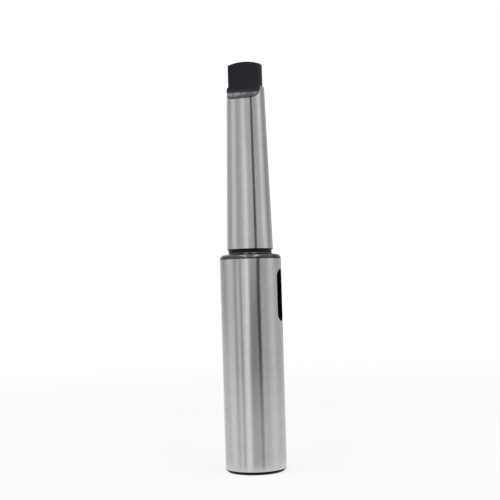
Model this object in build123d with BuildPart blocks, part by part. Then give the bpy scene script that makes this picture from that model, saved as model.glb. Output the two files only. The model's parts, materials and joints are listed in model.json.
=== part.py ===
"""Extension sleeve for tools with a self-holding taper shank.

One piece of steel, turned, milled and ground: a taper shank with a tang at the top, a taper socket of
the same size in the body below, and a drift slot through the body where a seated tool's tang ends.
The origin is the centre of the mouth's rim. +Z runs along the axis to the tang, the drift slot runs
right through along X, and the tang's flats face along Y, parallel to the slot's walls.
"""

import math
import os

from build123d import *

# Self-holding taper number 3, the same for the shank and for the tool that the socket takes
gauge_diameter = 23.825
length_per_diameter = 19.922
shank_length = 86.0
gauge_to_shank_base = 5.0
shank_base_chamfer = 0.3

# Tang: a turned stub with two milled flats that run out into the taper on the cutter's radius
tang_length = 13.0
tang_thickness = 7.9
tang_step = 0.83
tang_crown = 1.6
tang_corner_radius = 0.7
runout_radius = 7.0

# Centre hole in the tang's end, on which the sleeve is turned and ground
centre_angle = 60.0
centre_mouth_diameter = 5.3
centre_pilot_diameter = 2.5
centre_pilot_depth = 5.0

# Body and the relieved neck between its shoulder and the shank
socket_wall = 4.1
mouth_chamfer = 1.5
shoulder_radius = 2.5
shoulder_wall = 8.0
neck_length = 2.5
neck_relief = 0.75
neck_fillet = 1.2

# Socket: the taper, then a clearance bore that ends in the drill's point
socket_chamfer = 0.8
bore_clearance = 0.44
bore_past_slot_start = 6.0
drill_point_angle = 118.0

# Drift slot: it starts below the seated tool's tang and leaves room for the drift past the tang's end
slot_clearance = 0.3
slot_below_tang = 3.5
drift_room = 10.5

# Diameters that follow from the taper
shank_base_diameter = gauge_diameter + gauge_to_shank_base / length_per_diameter
shank_tip_diameter = shank_base_diameter - shank_length / length_per_diameter
tang_diameter = shank_tip_diameter - 2 * tang_step
neck_diameter = shank_base_diameter - 2 * neck_relief
body_diameter = gauge_diameter + 2 * socket_wall
bore_diameter = shank_tip_diameter + bore_clearance

# Heights above the mouth's rim
slot_start = shank_length - gauge_to_shank_base - slot_below_tang
slot_length = slot_below_tang + tang_length + drift_room
slot_width = tang_thickness + slot_clearance
bore_start = (gauge_diameter - bore_diameter) * length_per_diameter
bore_end = slot_start + bore_past_slot_start
drill_point = bore_diameter / 2 / math.tan(math.radians(drill_point_angle / 2))
shoulder_height = slot_start + slot_length + shoulder_wall
shank_base = shoulder_height + neck_length
tang_root = shank_base + shank_length
tang_end = tang_root + tang_length


def shank_radius(height):
    """Radius of the shank's taper at a height above the mouth's rim."""
    return (shank_base_diameter - (height - shank_base) / length_per_diameter) / 2


def socket_radius(height):
    """Radius of the socket's taper at a height above the mouth's rim."""
    return (gauge_diameter - height / length_per_diameter) / 2


def corner(profile, radius, height):
    """The corner of a turned profile at a radius and a height."""
    return profile.vertices().sort_by_distance((radius, height))[0]


with BuildPart() as extension_sleeve:
    # Turned and ground outside, from the mouth up to the crowned end of the tang
    with BuildSketch(Plane.XZ) as outside:
        with BuildLine():
            Polyline(
                (0, tang_end),
                (0, 0),
                (body_diameter / 2, 0),
                (body_diameter / 2, shoulder_height),
                (neck_diameter / 2, shoulder_height),
                (neck_diameter / 2, shank_base),
                (shank_base_diameter / 2, shank_base),
                (shank_radius(tang_root - tang_step), tang_root - tang_step),
                (tang_diameter / 2, tang_root),
                (tang_diameter / 2, tang_end - tang_crown),
            )
            TangentArc(
                (0, tang_end),
                (tang_diameter / 2, tang_end - tang_crown),
                tangent=(1, 0),
            )
        make_face()
        chamfer(corner(outside, body_diameter / 2, 0), mouth_chamfer)
        fillet(corner(outside, body_diameter / 2, shoulder_height), shoulder_radius)
        fillet(corner(outside, neck_diameter / 2, shoulder_height), neck_fillet)
        chamfer(corner(outside, shank_base_diameter / 2, shank_base), shank_base_chamfer)
        fillet(corner(outside, tang_diameter / 2, tang_end - tang_crown), tang_corner_radius)
    revolve(axis=Axis.Z)

    # Taper socket, with a broken edge at the mouth and a drilled clearance bore behind the taper
    with BuildSketch(Plane.XZ):
        with BuildLine():
            Polyline(
                (0, 0),
                (socket_radius(0) + socket_chamfer, 0),
                (socket_radius(socket_chamfer), socket_chamfer),
                (bore_diameter / 2, bore_start),
                (bore_diameter / 2, bore_end),
                (0, bore_end + drill_point),
                close=True,
            )
        make_face()
    revolve(axis=Axis.Z, mode=Mode.SUBTRACT)

    # Drift slot with full-round ends, milled right through the body
    with BuildSketch(Plane.YZ):
        with Locations((0, slot_start + slot_length / 2)):
            SlotOverall(slot_length, slot_width, rotation=90)
    extrude(amount=body_diameter, both=True, mode=Mode.SUBTRACT)

    # Tang flats: all outside the tang's thickness, down to where the cutter's radius leaves the taper
    with BuildSketch(Plane.YZ):
        with BuildLine():
            run_out = CenterArc(
                (tang_thickness / 2 + runout_radius, tang_root),
                runout_radius,
                180,
                90,
            )
            Polyline(
                run_out @ 1,
                (shank_base_diameter, tang_root - runout_radius),
                (shank_base_diameter, tang_end),
                (tang_thickness / 2, tang_end),
                run_out @ 0,
            )
        make_face()
        mirror(about=Plane.YZ)
    extrude(amount=shank_base_diameter, both=True, mode=Mode.SUBTRACT)

    # Centre hole
    with Locations((0, 0, tang_end)):
        CounterSinkHole(
            centre_pilot_diameter / 2,
            centre_mouth_diameter / 2,
            depth=centre_pilot_depth,
            counter_sink_angle=centre_angle,
        )

extension_sleeve.part.label = "extension_sleeve"

os.makedirs("parts", exist_ok=True)
export_step(extension_sleeve.part, "parts/extension_sleeve.step")
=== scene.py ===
"""A taper extension sleeve: bright on its ground shank and body, black elsewhere."""

import json
import math

import bpy
from mathutils import Matrix, Vector

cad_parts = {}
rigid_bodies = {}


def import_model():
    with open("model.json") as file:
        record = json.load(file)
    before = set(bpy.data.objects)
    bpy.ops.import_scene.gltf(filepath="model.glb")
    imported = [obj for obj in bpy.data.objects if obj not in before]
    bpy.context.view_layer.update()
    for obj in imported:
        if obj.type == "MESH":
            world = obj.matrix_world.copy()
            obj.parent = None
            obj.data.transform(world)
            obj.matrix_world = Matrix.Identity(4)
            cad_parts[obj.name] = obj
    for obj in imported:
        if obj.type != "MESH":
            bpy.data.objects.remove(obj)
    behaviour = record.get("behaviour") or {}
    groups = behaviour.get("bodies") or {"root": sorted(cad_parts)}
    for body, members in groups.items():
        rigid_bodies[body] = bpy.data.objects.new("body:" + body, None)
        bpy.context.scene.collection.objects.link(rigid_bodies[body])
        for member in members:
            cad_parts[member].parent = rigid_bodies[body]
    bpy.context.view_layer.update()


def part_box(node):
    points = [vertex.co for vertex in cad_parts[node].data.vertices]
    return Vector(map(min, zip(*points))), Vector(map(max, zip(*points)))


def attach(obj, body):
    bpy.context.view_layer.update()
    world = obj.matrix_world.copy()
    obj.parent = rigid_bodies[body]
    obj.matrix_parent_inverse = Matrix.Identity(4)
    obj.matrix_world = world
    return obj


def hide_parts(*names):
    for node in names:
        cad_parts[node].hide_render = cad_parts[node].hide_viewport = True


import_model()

MM = 0.001

# The sleeve's sizes, as the solid has them
BODY_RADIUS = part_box("extension_sleeve")[1].x
GAUGE_RADIUS = 11.9125 * MM
RADIUS_PER_HEIGHT = 0.5 / 19.922
MOUTH_CHAMFER = 1.5 * MM
SHOULDER_HEIGHT = 112.5 * MM
SHOULDER_RADIUS = 2.5 * MM
NECK_RADIUS = 11.288 * MM
NECK_FILLET = 1.2 * MM
SHANK_BASE = 115.0 * MM
SHANK_BASE_RADIUS = 12.038 * MM
SHANK_BASE_CHAMFER = 0.3 * MM
TANG_ROOT = 201.0 * MM
TANG_STEP = 0.83 * MM
TANG_RADIUS = 9.05 * MM
TANG_HALF_THICKNESS = 3.95 * MM
TANG_CROWN = 1.6 * MM
TANG_CORNER_RADIUS = 0.7 * MM
TANG_END = 214.0 * MM
RUNOUT_RADIUS = 7.0 * MM
CENTRE_MOUTH_RADIUS = 2.65 * MM
CENTRE_PILOT_RADIUS = 1.25 * MM
CENTRE_PILOT_DEPTH = 5.0 * MM
CENTRE_HALF_ANGLE = math.radians(30)
SOCKET_CHAMFER = 0.8 * MM
BORE_RADIUS = 10.1 * MM
BORE_END = 83.5 * MM
DRILL_HALF_ANGLE = math.radians(59)
SLOT_START = 77.5 * MM
SLOT_END = 104.5 * MM
SLOT_HALF_WIDTH = 4.1 * MM

# Where the black of the mouth's edges ends: the chamfer's black oxide, carried 0.2 mm up the ground
# body as painted shade
MOUTH_BLACK_AND_SHADE_END = 1.7 * MM

# How finely the sleeve is modelled
STEPS_ROUND = 132
EDGE_BREAK = 0.16 * MM
MILLED_EDGE_BREAK = 0.05 * MM
EDGE_RING = 0.5 * MM
RING_SPACING = 1.0 * MM
RINGS_PAST_SLOT = 4.5
RINGS_BELOW_TANG = 10.3
CROWN_STEPS = 3
CUTTER_STEPS = 24
SHARP_ANGLE = math.radians(28)
NEAR = 0.02 * MM
CLOSE = 0.03 * MM
TOUCHING = 0.002 * MM

# The camera, as it stood for the photograph
CAMERA_AZIMUTH = math.radians(18)
CAMERA_DISTANCE = 542.1 * MM
CAMERA_HEIGHT = 96.1 * MM
CAMERA_PITCH = 0.0347
CAMERA_ROLL = -0.029
CAMERA_LENS = 74.37

# The floor, the tent of panels that the bright steel mirrors, and the lamps overhead
FLOOR_SIZE = 60.0
FLOOR_BELOW_RIM = 0.05 * MM
TENT_FOOT_RADIUS = 34 * MM
TENT_TOP_RADIUS = 260 * MM
TENT_HEIGHT = 320 * MM
LAMP_WIDTH = 120 * MM
LAMP_LENGTH = 950 * MM
LAMP_HEIGHT = 1120 * MM
LAMP_FORWARD = 325 * MM
LAMP_POWER = 2.8


def shank_radius(height):
    """Radius of the shank's taper at a height."""
    return SHANK_BASE_RADIUS - (height - SHANK_BASE) * RADIUS_PER_HEIGHT


def socket_radius(height):
    """Radius of the socket's taper at a height."""
    return GAUGE_RADIUS - height * RADIUS_PER_HEIGHT


class Signal:
    """One output of a shader node. An operator on it adds a Math node to the same shader."""

    def __init__(self, shader, node, output=0):
        self.shader = shader
        self.node = node
        self.socket = node.outputs[output]

    def out(self, output):
        """Another output of the same node."""
        return Signal(self.shader, self.node, output)

    def math(self, operation, *operands):
        """A Math node on these operands."""
        return self.shader.node("ShaderNodeMath", {"operation": operation}, dict(enumerate(operands)))

    def __add__(self, other):
        return self.math("ADD", self, other)

    def __radd__(self, other):
        return self.math("ADD", other, self)

    def __sub__(self, other):
        return self.math("SUBTRACT", self, other)

    def __rsub__(self, other):
        return self.math("SUBTRACT", other, self)

    def __mul__(self, other):
        return self.math("MULTIPLY", self, other)

    def __rmul__(self, other):
        return self.math("MULTIPLY", other, self)

    def __truediv__(self, other):
        return self.math("DIVIDE", self, other)

    def __rtruediv__(self, other):
        return self.math("DIVIDE", other, self)

    def __pow__(self, other):
        return self.math("POWER", self, other)

    def __abs__(self):
        return self.math("ABSOLUTE", self)

    def step(self, start, end):
        """0 below start and 1 above end, smooth between them. With end below start it falls instead."""
        settings = {"interpolation_type": "SMOOTHSTEP"}
        below, above = (0.0, 1.0) if start < end else (1.0, 0.0)
        sockets = {0: self, 1: min(start, end), 2: max(start, end), 3: below, 4: above}
        return self.shader.node("ShaderNodeMapRange", settings, sockets)


class Shader:
    """The node tree of a material or a world, started empty."""

    def __init__(self, owner):
        owner.use_nodes = True
        self.tree = owner.node_tree
        self.tree.nodes.clear()

    def node(self, kind, settings=None, sockets=None, output=0):
        """Adds a node of a kind, sets it up, and gives its sockets their values or links."""
        made = self.tree.nodes.new(kind)
        for name, value in (settings or {}).items():
            setattr(made, name, value)
        for key, value in (sockets or {}).items():
            if isinstance(value, Signal):
                self.tree.links.new(value.socket, made.inputs[key])
            else:
                made.inputs[key].default_value = value
        return Signal(self, made, output) if made.outputs else None

    def blend(self, factor, colour, other_colour):
        """A colour between two, by a factor."""
        settings = {"data_type": "RGBA"}
        return self.node("ShaderNodeMix", settings, {0: factor, 6: colour, 7: other_colour}, 2)

    def place(self):
        """The place on the sleeve, in metres."""
        return self.node("ShaderNodeTexCoord").out("Object")

    def stretch(self, place, x, y, z):
        """A place scaled along each axis."""
        settings = {"operation": "MULTIPLY"}
        return self.node("ShaderNodeVectorMath", settings, {0: place, 1: (x, y, z)})

    def axes(self, place):
        """A place taken apart into X, Y and Z."""
        return self.node("ShaderNodeSeparateXYZ", None, {0: place})

    def bump(self, height, depth, strength):
        """A normal that follows a height."""
        sockets = {"Strength": strength, "Distance": depth, "Height": height}
        return self.node("ShaderNodeBump", None, sockets)

    def surface(self, shown):
        """Makes a shader the material's surface."""
        self.node("ShaderNodeOutputMaterial", None, {"Surface": shown})

    def noise(self, place, scale, detail=2.0, roughness=0.5):
        """Cloudy noise at a place."""
        sockets = {"Vector": place, "Scale": scale, "Detail": detail, "Roughness": roughness}
        return self.node("ShaderNodeTexNoise", None, sockets)


def deselect_all():
    """Leaves nothing selected, so that the next operator acts on its own object alone."""
    bpy.ops.object.select_all(action="DESELECT")


def edit(piece):
    """Opens a piece alone in edit mode."""
    deselect_all()
    bpy.context.view_layer.objects.active = piece
    piece.select_set(True)
    bpy.ops.object.mode_set(mode="EDIT")


def leave_edit():
    """Goes back to object mode."""
    bpy.ops.object.mode_set(mode="OBJECT")


def pick(piece, vertices=None, edges=None, faces=None):
    """In edit mode, selects the vertices, edges or faces that pass a test, and nothing else."""
    bpy.ops.mesh.select_all(action="DESELECT")
    leave_edit()
    mesh = piece.data
    for test, parts in ((vertices, mesh.vertices), (edges, mesh.edges), (faces, mesh.polygons)):
        if test:
            for part in parts:
                part.select = test(part)
    bpy.ops.object.mode_set(mode="EDIT")
    mode = "VERT" if vertices else "EDGE" if edges else "FACE"
    bpy.ops.mesh.select_mode(type=mode)


def draw_profile(name, points):
    """A wire in the XZ plane through points given as radius and height."""
    deselect_all()
    bpy.ops.mesh.primitive_plane_add(size=MM, location=(0, 0, 0))
    wire = bpy.context.object
    wire.name = name
    places = [Vector((radius, 0, height)) for radius, height in points]
    bpy.ops.object.mode_set(mode="EDIT")
    bpy.ops.mesh.merge(type="CENTER")
    bpy.ops.transform.translate(value=places[0])
    for start, end in zip(places, places[1:]):
        bpy.ops.mesh.extrude_vertices_move(TRANSFORM_OT_translate={"value": end - start})
    return wire


def round_corner(wire, corner, radius, segments):
    """Rounds one corner of a profile to a radius."""
    place = Vector((corner[0], 0, corner[1]))
    leave_edit()
    vertex = min(wire.data.vertices, key=lambda point: (point.co - place).length)
    met = [set(edge.vertices) for edge in wire.data.edges if vertex.index in edge.vertices]
    ends = [(pair - {vertex.index}).pop() for pair in met]
    arms = [wire.data.vertices[end].co - vertex.co for end in ends]
    setback = radius * math.tan((math.pi - arms[0].angle(arms[1])) / 2)
    bpy.ops.object.mode_set(mode="EDIT")
    pick(wire, vertices=lambda point: (point.co - place).length < NEAR)
    bpy.ops.mesh.bevel(affect="VERTICES", offset=setback, segments=segments, profile=0.5)


def divide_run(wire, radius_at, low, high):
    """Divides the straight run of a profile between two heights into rings."""
    def on_run(point):
        on_height = low - NEAR < point.co.z < high + NEAR
        return on_height and abs(point.co.x - radius_at(point.co.z)) < NEAR
    pick(wire, vertices=on_run)
    bpy.ops.mesh.subdivide(number_cuts=round((high - low) / RING_SPACING) - 1)


def turned_blank():
    """The sleeve as it leaves the lathe, socket bored and centre drilled, before it is milled."""
    crown_radius = (TANG_RADIUS ** 2 + TANG_CROWN ** 2) / (2 * TANG_CROWN)

    def crown(radius):
        return TANG_END - crown_radius + math.sqrt(crown_radius ** 2 - radius ** 2)

    def on_shank(height):
        return shank_radius(height), height

    def in_socket(height):
        return socket_radius(height), height

    step_base = TANG_ROOT - TANG_STEP
    centre_mouth = (CENTRE_MOUTH_RADIUS, crown(CENTRE_MOUTH_RADIUS))
    cone_depth = (CENTRE_MOUTH_RADIUS - CENTRE_PILOT_RADIUS) / math.tan(CENTRE_HALF_ANGLE)
    pilot_mouth = (CENTRE_PILOT_RADIUS, centre_mouth[1] - cone_depth)
    bore_start = (GAUGE_RADIUS - BORE_RADIUS) / RADIUS_PER_HEIGHT
    drill_point = BORE_END + BORE_RADIUS / math.tan(DRILL_HALF_ANGLE)
    past_slot = RINGS_PAST_SLOT * RING_SPACING
    slot_rings = (SLOT_START - past_slot, SLOT_END + past_slot)
    runout_rings = TANG_ROOT - RINGS_BELOW_TANG * RING_SPACING

    socket_break = in_socket(SOCKET_CHAMFER)
    rim_inside = (socket_radius(0) + SOCKET_CHAMFER, 0)
    rim_outside = (BODY_RADIUS - MOUTH_CHAMFER, 0)
    mouth_edge = (BODY_RADIUS, MOUTH_CHAMFER)
    shoulder = (BODY_RADIUS, SHOULDER_HEIGHT)
    neck_foot = (NECK_RADIUS, SHOULDER_HEIGHT)
    neck_top = (NECK_RADIUS, SHANK_BASE)
    shank_foot = (SHANK_BASE_RADIUS - SHANK_BASE_CHAMFER, SHANK_BASE)
    shank_edge = on_shank(SHANK_BASE + SHANK_BASE_CHAMFER)
    shank_end = on_shank(step_base)
    tang_foot = (TANG_RADIUS, TANG_ROOT)
    tang_corner = (TANG_RADIUS, TANG_END - TANG_CROWN)
    crown_radii = [
        TANG_RADIUS + (CENTRE_MOUTH_RADIUS - TANG_RADIUS) * step / CROWN_STEPS
        for step in range(1, CROWN_STEPS)
    ]

    blank = draw_profile("extension_sleeve_finish", [
        (0, drill_point),
        (BORE_RADIUS, BORE_END),
        (BORE_RADIUS, bore_start),
        in_socket(SOCKET_CHAMFER + EDGE_RING),
        socket_break,
        rim_inside,
        rim_outside,
        mouth_edge,
        (BODY_RADIUS, MOUTH_BLACK_AND_SHADE_END),
        (BODY_RADIUS, slot_rings[0]),
        (BODY_RADIUS, slot_rings[1]),
        shoulder,
        neck_foot,
        neck_top,
        shank_foot,
        shank_edge,
        on_shank(SHANK_BASE + SHANK_BASE_CHAMFER + EDGE_RING),
        on_shank(runout_rings),
        shank_end,
        tang_foot,
        tang_corner,
        *[(radius, crown(radius)) for radius in crown_radii],
        centre_mouth,
        pilot_mouth,
        (CENTRE_PILOT_RADIUS, TANG_END - CENTRE_PILOT_DEPTH),
        (0, TANG_END - CENTRE_PILOT_DEPTH),
    ])
    divide_run(blank, lambda height: BODY_RADIUS, *slot_rings)
    divide_run(blank, shank_radius, runout_rings, step_base)
    round_corner(blank, shoulder, SHOULDER_RADIUS, segments=14)
    round_corner(blank, neck_foot, NECK_FILLET, segments=12)
    round_corner(blank, tang_corner, TANG_CORNER_RADIUS, segments=6)
    sharp_corners = (
        socket_break,
        rim_inside,
        rim_outside,
        mouth_edge,
        shank_foot,
        shank_edge,
        shank_end,
        centre_mouth,
    )
    for sharp in sharp_corners:
        round_corner(blank, sharp, EDGE_BREAK, segments=3)
    bpy.ops.mesh.select_all(action="SELECT")
    bpy.ops.mesh.spin(steps=STEPS_ROUND, angle=2 * math.pi, center=(0, 0, 0), axis=(0, 0, 1))
    bpy.ops.mesh.select_all(action="SELECT")
    bpy.ops.mesh.remove_doubles(threshold=TOUCHING)
    bpy.ops.mesh.normals_make_consistent(inside=False)
    leave_edit()
    return blank


def box_cutter(low, high, rounded, radius):
    """A block between two corners, with the edges along X that pass a test rounded."""
    deselect_all()
    bpy.ops.mesh.primitive_cube_add(size=1, location=(0, 0, 0))
    cutter = bpy.context.object
    bpy.ops.object.mode_set(mode="EDIT")
    bpy.ops.transform.resize(value=Vector(high) - Vector(low))
    bpy.ops.transform.translate(value=(Vector(high) + Vector(low)) / 2)

    def to_round(edge):
        ends = [cutter.data.vertices[index].co for index in edge.vertices]
        return abs(ends[0].x - ends[1].x) > NEAR and rounded(ends[0])

    pick(cutter, edges=to_round)
    bpy.ops.mesh.bevel(affect="EDGES", offset=radius, segments=CUTTER_STEPS, profile=0.5)
    bpy.ops.mesh.select_all(action="SELECT")
    bpy.ops.mesh.remove_doubles(threshold=TOUCHING)
    bpy.ops.mesh.normals_make_consistent(inside=False)
    leave_edit()
    return cutter


def cut_away(piece, cutter):
    """Takes a cutter's shape out of a piece and deletes the cutter."""
    deselect_all()
    bpy.context.view_layer.objects.active = piece
    cut = piece.modifiers.new("cut", "BOOLEAN")
    cut.operation = "DIFFERENCE"
    cut.solver = "MANIFOLD"
    cut.object = cutter
    bpy.ops.object.modifier_apply(modifier="cut")
    deselect_all()
    cutter.select_set(True)
    bpy.ops.object.delete()


def mill(piece):
    """Mills the drift slot and the tang's two flats with their run-outs, and breaks their edges."""
    beyond = 2 * BODY_RADIUS
    slot = box_cutter(
        (-beyond, -SLOT_HALF_WIDTH, SLOT_START),
        (beyond, SLOT_HALF_WIDTH, SLOT_END),
        lambda place: True,
        SLOT_HALF_WIDTH,
    )
    cut_away(piece, slot)
    runout_end = TANG_ROOT - RUNOUT_RADIUS
    for side in (-1, 1):
        flat = side * TANG_HALF_THICKNESS
        outer = side * beyond
        cutter = box_cutter(
            (-beyond, min(flat, outer), runout_end),
            (beyond, max(flat, outer), TANG_END + beyond),
            lambda place: abs(place.y - flat) < NEAR and abs(place.z - runout_end) < NEAR,
            RUNOUT_RADIUS,
        )
        cut_away(piece, cutter)
    edit(piece)
    bpy.ops.mesh.select_all(action="SELECT")
    bpy.ops.mesh.remove_doubles(threshold=CLOSE)
    bpy.ops.mesh.select_mode(type="EDGE")
    bpy.ops.mesh.select_all(action="DESELECT")
    bpy.ops.mesh.edges_select_sharp(sharpness=SHARP_ANGLE)
    leave_edit()
    sharp = {edge.index for edge in piece.data.edges if edge.select}
    bpy.ops.object.mode_set(mode="EDIT")

    def on_slot_edge(point):
        on_body = abs(point.xy.length - BODY_RADIUS) < NEAR
        return on_body and SLOT_START - MM < point.z < SLOT_END + MM

    def on_tang_cut(point):
        across = abs(point.y) - TANG_HALF_THICKNESS - RUNOUT_RADIUS
        along = min(point.z - TANG_ROOT, 0)
        return abs(math.hypot(across, along) - RUNOUT_RADIUS) < NEAR

    def milled(edge):
        ends = [piece.data.vertices[index].co for index in edge.vertices]
        on_cut = all(map(on_slot_edge, ends)) or all(map(on_tang_cut, ends))
        return edge.index in sharp and on_cut

    pick(piece, edges=milled)
    bpy.ops.mesh.bevel(affect="EDGES", offset=MILLED_EDGE_BREAK, segments=1, loop_slide=False)
    bpy.ops.mesh.select_more()
    bpy.ops.mesh.remove_doubles(threshold=CLOSE)
    bpy.ops.mesh.select_all(action="SELECT")
    bpy.ops.mesh.remove_doubles(threshold=TOUCHING)
    bpy.ops.mesh.normals_make_consistent(inside=False)
    leave_edit()


def ground_steel():
    """Bright steel with the fine rings that a grinding wheel leaves round it."""
    material = bpy.data.materials.new("ground_steel")
    shader = Shader(material)
    place = shader.place()
    rings = shader.noise(shader.stretch(place, 60, 60, 3500), 1.0, 3.0, 0.6)
    drift = shader.noise(shader.stretch(place, 90, 90, 45), 1.0, 2.0)
    stain = shader.noise(shader.stretch(place, 280, 280, 190), 1.0, 3.0, 0.6)
    tone = 0.25 * drift + 0.25 * rings + 0.5 * stain
    bright = shader.blend(tone, (0.49, 0.495, 0.50, 1), (0.69, 0.685, 0.67, 1))
    part = shader.axes(place)
    across = abs(part.out("Y")) - (TANG_HALF_THICKNESS + RUNOUT_RADIUS)
    along = part.out("Z") - TANG_ROOT
    from_cutter = (across * across + along * along) ** 0.5 - RUNOUT_RADIUS
    lip = 0.7 * MM
    lip_blur = 0.08 * MM
    lip_wander = 0.3 * MM * (drift - 0.5)
    # A darker band on the shank just below each run-out's lip, blurred and wandering along it
    dark_lip_band = (from_cutter + lip_wander).step(lip + lip_blur, lip - lip_blur)
    colour = shader.blend(dark_lip_band, bright, (0.12, 0.12, 0.125, 1))
    waves = shader.noise(shader.stretch(place, 120, 120, 60), 1.0, 2.0)
    height = waves + 0.06 * rings
    bump = shader.bump(height, 0.03 * MM, 1.0)
    steel = shader.node("ShaderNodeBsdfPrincipled", None, {
        "Base Color": colour,
        "Metallic": 1.0,
        "Roughness": 0.15 + 0.07 * rings + 0.03 * drift,
        "Anisotropic": 0.7,
        "Anisotropic Rotation": 0.25,
        "Normal": bump,
    })
    shader.surface(steel)
    return material


def milled_black():
    """The tang's black finish, with a grey metallic patch on each run-out where the lamps' highlight
    falls: a painted highlight.
    """
    material = bpy.data.materials.new("milled_black")
    shader = Shader(material)
    place = shader.place()
    part = shader.axes(place)
    cloud = shader.noise(place, 220.0, 4.0, 0.6)
    scuff = shader.noise(shader.stretch(place, 450, 450, 700), 1.0, 3.0, 0.6)
    # How far below the tang's root the lamps' highlight band lies on the run-outs, where the painted
    # highlight goes
    highlight_from = 2.9 * MM
    highlight_to = 4.5 * MM
    wander = 1.0 * MM * (scuff - 0.5)
    depth = TANG_ROOT - part.out("Z") - 0.04 * part.out("X") + wander
    streaks = shader.noise(shader.stretch(place, 230, 50, 50), 1.0, 2.0) - 14 * part.out("X")
    highlight_patch = depth.step(highlight_from, highlight_to) * (0.4 + 0.6 * streaks.step(0.34, 0.66))
    marks = shader.noise(shader.stretch(place, 90, 90, 3000), 1.0, 3.0, 0.6)
    tone = 0.6 * cloud + 0.4 * marks
    black = shader.blend(tone, (0.009, 0.0095, 0.0125, 1), (0.023, 0.024, 0.03, 1))
    # Painted highlight: grey metal over the black, where the overhead lamps' highlight falls on the
    # run-out
    colour = shader.blend(highlight_patch, black, (0.2, 0.2, 0.206, 1))
    relief = scuff + 0.4 * marks
    bump = shader.bump(relief, 0.08 * MM, 0.3)
    finish = shader.node("ShaderNodeBsdfPrincipled", None, {
        "Base Color": colour,
        "Metallic": highlight_patch,
        "Roughness": 0.36 + 0.14 * cloud,
        "Specular IOR Level": 0.12,
        "Normal": bump,
    })
    shader.surface(finish)
    return material


def turned_black():
    """The neck's and shoulder's black: near-black and dull in the groove as painted shadow, with a
    painted dark metallic sheen below.
    """
    material = bpy.data.materials.new("turned_black")
    shader = Shader(material)
    place = shader.place()
    height = shader.axes(place).out("Z")
    rings = shader.noise(shader.stretch(place, 80, 80, 4000), 1.0, 3.0, 0.6)
    cloud = shader.noise(place, 300.0, 3.0, 0.6)
    # 1 on the fillet and shoulder, which get a painted metallic sheen; 0 in the groove, which gets
    # painted shadow under the shank
    sheen_not_shadow = height.step(SHOULDER_HEIGHT + NECK_FILLET, SHOULDER_HEIGHT + NECK_FILLET / 2)
    dark = shader.blend(cloud, (0.065, 0.065, 0.07, 1), (0.115, 0.115, 0.122, 1))
    # The groove's near-black is painted shadow; the lighter metal below it is a painted sheen
    colour = shader.blend(sheen_not_shadow, (0.004, 0.004, 0.004, 1), dark)
    bump = shader.bump(rings, 0.02 * MM, 0.15)
    finish = shader.node("ShaderNodeBsdfPrincipled", None, {
        "Base Color": colour,
        "Metallic": sheen_not_shadow,
        "Roughness": 0.34 - 0.14 * sheen_not_shadow + 0.06 * cloud,
        "Specular IOR Level": 0.2,
        "Normal": bump,
    })
    shader.surface(finish)
    return material


def shaded_black():
    """The black of the drift slot, the bore and the mouth's edges, darker and duller than the tang's:
    painted shade.
    """
    material = bpy.data.materials.new("shaded_black")
    shader = Shader(material)
    place = shader.place()
    cloud = shader.noise(place, 180.0, 4.0, 0.6)
    marks = shader.noise(shader.stretch(place, 300, 300, 1500), 1.0, 3.0, 0.6)
    # Near-black colour and a low specular level: black oxide darkened further as painted shade of the
    # slot, bore and rim
    colour = shader.blend(cloud, (0.0015, 0.0015, 0.0015, 1), (0.004, 0.004, 0.0038, 1))
    bump = shader.bump(marks, 0.05 * MM, 0.2)
    finish = shader.node("ShaderNodeBsdfPrincipled", None, {
        "Base Color": colour,
        "Roughness": 0.45 + 0.2 * marks,
        "Specular IOR Level": 0.08,
        "Normal": bump,
    })
    shader.surface(finish)
    return material


def finish_faces(piece):
    """Gives each face its finish: ground, milled and blackened, turned and blackened, or dull black
    darkened as painted shade.
    """
    def ground(face):
        radius = face.center.xy.length
        height = face.center.z
        # The ground steel starts above the mouth's black; the band just past the chamfer is painted
        # shade of the rim
        below_shoulder = MOUTH_BLACK_AND_SHADE_END < height < SHOULDER_HEIGHT - SHOULDER_RADIUS
        on_body = abs(radius - BODY_RADIUS) < NEAR and below_shoulder
        beside_shank = SHANK_BASE < height < TANG_ROOT - TANG_STEP
        on_shank = abs(radius - shank_radius(height)) < NEAR and beside_shank
        in_socket = abs(radius - socket_radius(height)) < NEAR and height < BORE_END
        return abs(face.normal.z) < 0.1 and (on_body or on_shank or in_socket)

    def milled(face):
        return face.center.z > (SHANK_BASE + TANG_ROOT) / 2 and not ground(face)

    def turned(face):
        outside = face.center.xy.length > NECK_RADIUS - NEAR
        near_neck = SHOULDER_HEIGHT - SHOULDER_RADIUS - NEAR < face.center.z < SHANK_BASE + MM
        return outside and near_neck and not ground(face)

    piece.data.materials.clear()
    piece.data.materials.append(shaded_black())
    finishes = ((ground_steel(), ground), (milled_black(), milled), (turned_black(), turned))
    edit(piece)
    for finish, chosen in finishes:
        piece.data.materials.append(finish)
        pick(piece, faces=chosen)
        piece.active_material_index = len(piece.data.materials) - 1
        bpy.ops.object.material_slot_assign()
    leave_edit()


def sleeve():
    """The finished sleeve, in place of the solid."""
    piece = turned_blank()
    mill(piece)
    finish_faces(piece)
    deselect_all()
    bpy.context.view_layer.objects.active = piece
    piece.select_set(True)
    bpy.ops.object.shade_smooth_by_angle(angle=SHARP_ANGLE)
    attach(piece, "root")
    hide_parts("extension_sleeve")


def seen_directly(shader):
    """1 for what is seen, also in a reflection, and 0 for light that falls on a surface."""
    path = shader.node("ShaderNodeLightPath")
    mirrored = path.out("Is Glossy Ray") + path.out("Is Transmission Ray")
    seen = path.out("Is Camera Ray") + mirrored
    return seen.math("MINIMUM", seen, 1.0)


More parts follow.
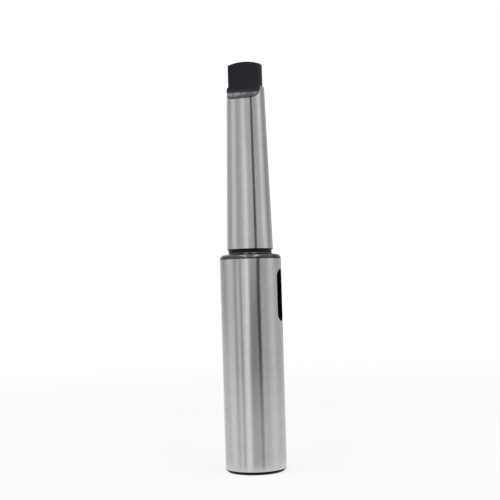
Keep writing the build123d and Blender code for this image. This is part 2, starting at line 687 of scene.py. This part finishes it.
def studio_world():
    """White behind the sleeve and plain even light on it."""
    world = bpy.data.worlds.new("studio")
    bpy.context.scene.world = world
    shader = Shader(world)
    light = shader.node("ShaderNodeBackground", None, {"Color": (1, 1, 1, 1), "Strength": 0.6})
    white = shader.node("ShaderNodeBackground", None, {"Color": (1, 1, 1, 1), "Strength": 1.0})
    both = shader.node("ShaderNodeMixShader", None, {0: seen_directly(shader), 1: light, 2: white})
    shader.node("ShaderNodeOutputWorld", None, {"Surface": both})


def studio_floor():
    """A pale floor that stays white and keeps the sleeve's soft shadow."""
    deselect_all()
    bpy.ops.mesh.primitive_plane_add(size=FLOOR_SIZE, location=(0, 0, -FLOOR_BELOW_RIM))
    floor = bpy.context.object
    floor.name = "studio_floor"
    material = bpy.data.materials.new("studio_floor")
    shader = Shader(material)
    settings = {"operation": "LENGTH"}
    distance = shader.node("ShaderNodeVectorMath", settings, {0: shader.place()}, 1)
    paper = shader.node("ShaderNodeBsdfDiffuse", None, {"Color": (0.95, 0.95, 0.95, 1)})
    white = shader.node("ShaderNodeEmission", None, {"Color": (1, 1, 1, 1), "Strength": 1.0})
    whiteness = seen_directly(shader) * (0.8 + 0.2 * distance.step(0.2, 0.8))
    both = shader.node("ShaderNodeMixShader", None, {0: whiteness, 1: paper, 2: white})
    shader.surface(both)
    floor.data.materials.append(material)


def light_tent():
    """A round tent of pale and dark panels, which shows only in the sleeve's reflections."""
    deselect_all()
    bpy.ops.mesh.primitive_cone_add(
        vertices=128,
        radius1=TENT_FOOT_RADIUS,
        radius2=TENT_TOP_RADIUS,
        depth=TENT_HEIGHT,
        end_fill_type="NOTHING",
        location=(0, 0, TENT_HEIGHT / 2),
    )
    tent = bpy.context.object
    bpy.ops.object.transform_apply(location=True)
    tent.name = "light_tent"
    material = bpy.data.materials.new("light_tent")
    shader = Shader(material)
    place = shader.axes(shader.place())
    turn_cos = math.cos(CAMERA_AZIMUTH)
    turn_sin = math.sin(CAMERA_AZIMUTH)
    side = place.out("X") * turn_cos + place.out("Y") * turn_sin
    front = place.out("X") * turn_sin - place.out("Y") * turn_cos
    reach = (side * side + front * front) ** 0.5
    degrees = side.math("ARCTAN2", side, front) * (180 / math.pi)
    bearing = degrees / (1 - BODY_RADIUS / 2 / reach)

    # Zones of the tent by height, each 1 inside and 0 outside
    height = place.out("Z")
    top = height.step(185 * MM, 215 * MM)
    low = height.step(145 * MM, 73 * MM)
    beside_body = height.step(117 * MM, 111 * MM)
    lower = height.step(90 * MM, 50 * MM)
    upper_body = beside_body - lower
    faded = height.step(60 * MM, 15 * MM)

    # Panels: how much brighter than the plain tent, then bearing, half width and soft edge in degrees
    panels = (
        (0.3, -170.5, 8.4, 8.4),
        (0.1 * (lower - faded), -132, 34, 24),
        (0.08 * lower - 0.13, -123.4, 14.6, 12.6),
        (0.19 - 0.1 * upper_body, -85.8, 12.6, 12.6),
        (0.12 * (beside_body - 1), -57, 7.5, 8),
        (-0.18 * beside_body, -63, 4.7, 7),
        (0.08 * beside_body, -50.5, 5.5, 6),
        (-0.1 - 0.18 * beside_body, -39, 4.1, 6),
        (0.17, -30.3, 6.8, 6.3),
        (0.34 + 0.1 * low - 0.12 * lower - 0.1 * top, -16.4 - 4.1 * lower, 6.3, 4.6),
        (0.16 * (1 - low - top), -6.3, 5.2, 8.4),
        (-0.02 - 0.3 * low, 8.4 - 3 * lower, 13.6, 8.4),
        (-0.55, 31 - 3.3 * beside_body, 6.6, 5.2),
        (-0.04 - 0.06 * beside_body - 0.07 * top, 49.2, 12.6, 10.5),
        (0.24 - 0.12 * beside_body + 0.05 * top, 83.7, 11.5, 12.6),
        (0.17 * beside_body - 0.22, 126, 18, 12.6),
        (0.4 * (lower - 1), 165.3, 6.3, 5.2),
    )
    level = 0.62
    for brightness, centre, half_width, soft in panels:
        off_centre = abs(bearing - centre)
        level = level + brightness * off_centre.step(half_width + soft / 2, half_width - soft / 2)
    level = level + 0.3 * faded * (1.12 - level)
    glow = shader.node("ShaderNodeEmission", None, {"Color": level, "Strength": 1.0})
    shader.surface(glow)
    tent.data.materials.append(material)
    tent.visible_camera = False
    tent.visible_diffuse = False
    tent.visible_shadow = False
    tent.visible_transmission = False


def strip_lamp(name, aside):
    """A long soft lamp overhead that runs towards the camera, to one side of the sleeve."""
    deselect_all()
    bpy.ops.object.light_add(type="AREA")
    lamp = bpy.context.object
    lamp.name = name
    lamp.data.shape = "RECTANGLE"
    lamp.data.size = LAMP_WIDTH
    lamp.data.size_y = LAMP_LENGTH
    lamp.data.energy = LAMP_POWER
    place = Matrix.Translation((aside, -LAMP_FORWARD, LAMP_HEIGHT))
    lamp.matrix_world = Matrix.Rotation(CAMERA_AZIMUTH, 4, "Z") @ place


def photo_camera():
    """The camera at the photograph's place, tilt and lens."""
    deselect_all()
    bpy.ops.object.camera_add()
    camera = bpy.context.object
    camera.data.sensor_width = 36
    camera.data.lens = CAMERA_LENS
    camera.data.clip_start = 0.01
    camera.matrix_world = (
        Matrix.Rotation(CAMERA_AZIMUTH, 4, "Z")
        @ Matrix.Translation((0, -CAMERA_DISTANCE, CAMERA_HEIGHT))
        @ Matrix.Rotation(math.pi / 2 + CAMERA_PITCH, 4, "X")
        @ Matrix.Rotation(CAMERA_ROLL, 4, "Z")
    )
    bpy.context.scene.camera = camera


sleeve()
studio_world()
studio_floor()
light_tent()
strip_lamp("left_strip_lamp", -290 * MM)
strip_lamp("right_strip_lamp", 280 * MM)
photo_camera()
bpy.context.scene.view_settings.view_transform = "Standard"
